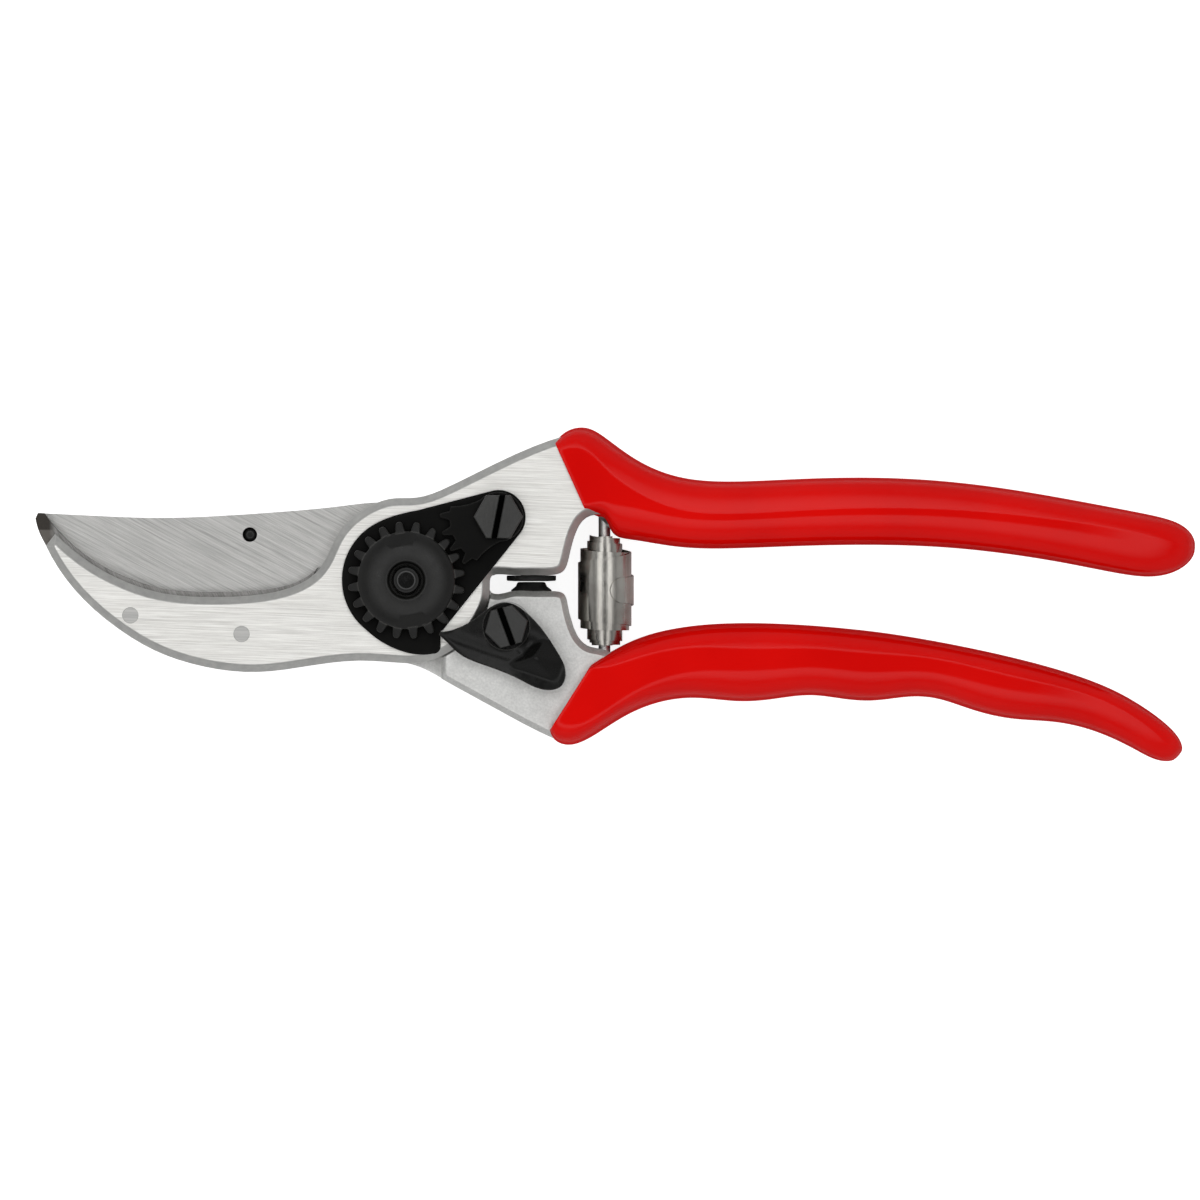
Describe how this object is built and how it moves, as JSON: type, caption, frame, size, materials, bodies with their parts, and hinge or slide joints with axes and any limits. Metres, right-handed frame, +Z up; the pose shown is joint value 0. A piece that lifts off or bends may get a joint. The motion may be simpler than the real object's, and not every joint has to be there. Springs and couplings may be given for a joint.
{
  "type": "bypass pruning shears",
  "caption": "Hand pruning shears with a curved cutting blade, a hook-shaped anvil jaw, a toothed centre nut, a volute return spring, a thumb catch and dipped grips.",
  "frame": {"origin": "on the pivot bolt's axis, at the level the shears rest on when they lie flat", "axes": "+X towards the handle ends, so the jaws point to -X; +Y towards the hook handle's side; +Z up, out of the face with the toothed nut"},
  "size_m": [0.2154, 0.0624, 0.0212],
  "materials": {
    "bright_aluminium": "ground and brushed front face, satin forged sides",
    "satin_aluminium": "satin, forged and blasted",
    "red_coating": "glossy dip-coated vinyl",
    "blade_steel": "ground, fine slanting grain",
    "anvil_steel": "ground, darkened by hardening",
    "rivet_steel": "ground flush",
    "black_steel": "black oxide, lightly oiled",
    "bolt_steel": "turned",
    "spring_nickel": "bright nickel plate",
    "bush_bronze": "sintered, oiled",
    "black_rubber": "matt moulded"
  },
  "bodies": {
    "hook_side": {"hook_handle": "bright_aluminium", "hook_grip": "red_coating", "anvil_blade": "anvil_steel", "anvil_rivets": "rivet_steel", "centre_plate": "black_steel", "toothed_nut": "black_steel", "toothed_segment": "black_steel", "segment_screw": "black_steel", "pivot_bolt": "black_steel", "bolt_washer": "bolt_steel", "stop_pad": "black_rubber", "return_spring": "spring_nickel"},
    "blade_side": {"blade_handle": "satin_aluminium", "blade_grip": "red_coating", "cutting_blade": "blade_steel", "blade_pin": "black_steel", "pivot_bush": "bush_bronze", "rubber_bumper": "black_rubber", "catch_screw": "black_steel", "catch_washer": "bolt_steel"},
    "catch": {"thumb_catch": "black_steel"}
  },
  "joints": [
    {"name": "handle_pivot", "type": "hinge", "parent": "hook_side", "child": "blade_side", "pos_m": [0, 0, 0.0085], "axis": [0, 0, -1], "range_deg": [0, 35], "deforming": ["return_spring"]},
    {"name": "catch_pivot", "type": "hinge", "parent": "blade_side", "child": "catch", "pos_m": [0.01845, -0.00855, 0.016], "axis": [0, 0, 1], "range_deg": [0, 22]}
  ]
}
